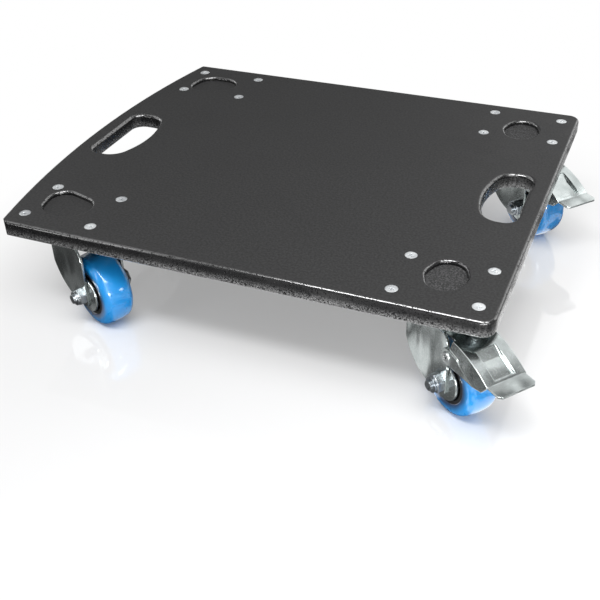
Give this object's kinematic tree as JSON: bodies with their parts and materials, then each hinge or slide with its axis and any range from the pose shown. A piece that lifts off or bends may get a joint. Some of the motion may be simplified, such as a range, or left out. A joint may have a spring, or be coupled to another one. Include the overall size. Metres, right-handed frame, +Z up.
{
  "type": "caster board",
  "caption": "Flat lacquered carrying board with D-shaped handle holes and foot hollows on swivel casters with blue tyres, the end pair with brake pedals.",
  "frame": {"origin": "centre of the four swivel axes on the board's load face", "axes": "+X along the board's length towards its straight end, +Y towards its back edge, +Z up"},
  "size_m": [0.579, 0.4848, 0.125],
  "materials": {
    "board_lacquer": "fibreboard under a fine-grained charcoal black lacquer, glossy on the edges",
    "tyre_blue": "blue elastic tyre, satin",
    "rim_plastic": "black moulded plastic",
    "zinc_sheet": "pressed sheet steel, zinc plated",
    "zinc_bright": "bright zinc plated fasteners",
    "plain_steel": "plain zinc plated steel",
    "bearing_steel": "polished hardened steel"
  },
  "bodies": {
    "board": {"deck": "board_lacquer", "deck_screws": "zinc_bright", "deck_washers": "zinc_bright", "deck_nuts": "zinc_bright", "top_plate_fl": "zinc_sheet", "king_pin_fl": "plain_steel", "lower_race_fl": "plain_steel", "top_plate_fr": "zinc_sheet", "king_pin_fr": "plain_steel", "lower_race_fr": "plain_steel", "top_plate_bl": "zinc_sheet", "king_pin_bl": "plain_steel", "lower_race_bl": "plain_steel", "top_plate_br": "zinc_sheet", "king_pin_br": "plain_steel", "lower_race_br": "plain_steel"},
    "swivel_fl": {"fork_fl": "zinc_sheet", "swivel_balls_fl": "bearing_steel", "axle_bolt_fl": "zinc_bright", "axle_nut_fl": "zinc_bright", "axle_tube_fl": "plain_steel", "thread_guards_fl": "zinc_sheet"},
    "wheel_fl": {"tyre_fl": "tyre_blue", "rim_fl": "rim_plastic", "roller_bearing_fl": "bearing_steel"},
    "swivel_fr": {"fork_fr": "zinc_sheet", "swivel_balls_fr": "bearing_steel", "axle_bolt_fr": "zinc_bright", "axle_nut_fr": "zinc_bright", "axle_tube_fr": "plain_steel", "thread_guards_fr": "zinc_sheet", "pedal_rivets_fr": "plain_steel", "brake_spring_fr": "plain_steel"},
    "wheel_fr": {"tyre_fr": "tyre_blue", "rim_fr": "rim_plastic", "roller_bearing_fr": "bearing_steel"},
    "pedal_fr": {"brake_pedal_fr": "zinc_sheet", "brake_shoe_fr": "zinc_sheet"},
    "swivel_bl": {"fork_bl": "zinc_sheet", "swivel_balls_bl": "bearing_steel", "axle_bolt_bl": "zinc_bright", "axle_nut_bl": "zinc_bright", "axle_tube_bl": "plain_steel", "thread_guards_bl": "zinc_sheet"},
    "wheel_bl": {"tyre_bl": "tyre_blue", "rim_bl": "rim_plastic", "roller_bearing_bl": "bearing_steel"},
    "swivel_br": {"fork_br": "zinc_sheet", "swivel_balls_br": "bearing_steel", "axle_bolt_br": "zinc_bright", "axle_nut_br": "zinc_bright", "axle_tube_br": "plain_steel", "thread_guards_br": "zinc_sheet", "pedal_rivets_br": "plain_steel", "brake_spring_br": "plain_steel"},
    "wheel_br": {"tyre_br": "tyre_blue", "rim_br": "rim_plastic", "roller_bearing_br": "bearing_steel"},
    "pedal_br": {"brake_pedal_br": "zinc_sheet", "brake_shoe_br": "zinc_sheet"}
  },
  "joints": [
    {"name": "swivel_fl", "type": "hinge", "parent": "board", "child": "swivel_fl", "pos_m": [-0.2, -0.17375, -0.018], "axis": [0, 0, 1], "continuous": true},
    {"name": "roll_fl", "type": "hinge", "parent": "swivel_fl", "child": "wheel_fl", "pos_m": [-0.16881, -0.18964, -0.085], "axis": [0.454, 0.891, 0], "continuous": true},
    {"name": "swivel_fr", "type": "hinge", "parent": "board", "child": "swivel_fr", "pos_m": [0.2, -0.17375, -0.018], "axis": [0, 0, 1], "continuous": true},
    {"name": "roll_fr", "type": "hinge", "parent": "swivel_fr", "child": "wheel_fr", "pos_m": [0.22739, -0.19554, -0.085], "axis": [0.6225, 0.7826, 0], "continuous": true},
    {"name": "brake_fr", "type": "hinge", "parent": "swivel_fr", "child": "pedal_fr", "pos_m": [0.23561, -0.20207, -0.048], "axis": [0.6225, 0.7826, 0], "range_deg": [0, 11]},
    {"name": "swivel_bl", "type": "hinge", "parent": "board", "child": "swivel_bl", "pos_m": [-0.2, 0.17375, -0.018], "axis": [0, 0, 1], "continuous": true},
    {"name": "roll_bl", "type": "hinge", "parent": "swivel_bl", "child": "wheel_bl", "pos_m": [-0.17065, 0.15469, -0.085], "axis": [0.5446, 0.8387, 0], "continuous": true},
    {"name": "swivel_br", "type": "hinge", "parent": "board", "child": "swivel_br", "pos_m": [0.2, 0.17375, -0.018], "axis": [0, 0, 1], "continuous": true},
    {"name": "roll_br", "type": "hinge", "parent": "swivel_br", "child": "wheel_br", "pos_m": [0.22701, 0.15149, -0.085], "axis": [0.6361, 0.7716, 0], "continuous": true},
    {"name": "brake_br", "type": "hinge", "parent": "swivel_br", "child": "pedal_br", "pos_m": [0.23511, 0.14481, -0.048], "axis": [0.6361, 0.7716, 0], "range_deg": [0, 11]}
  ]
}
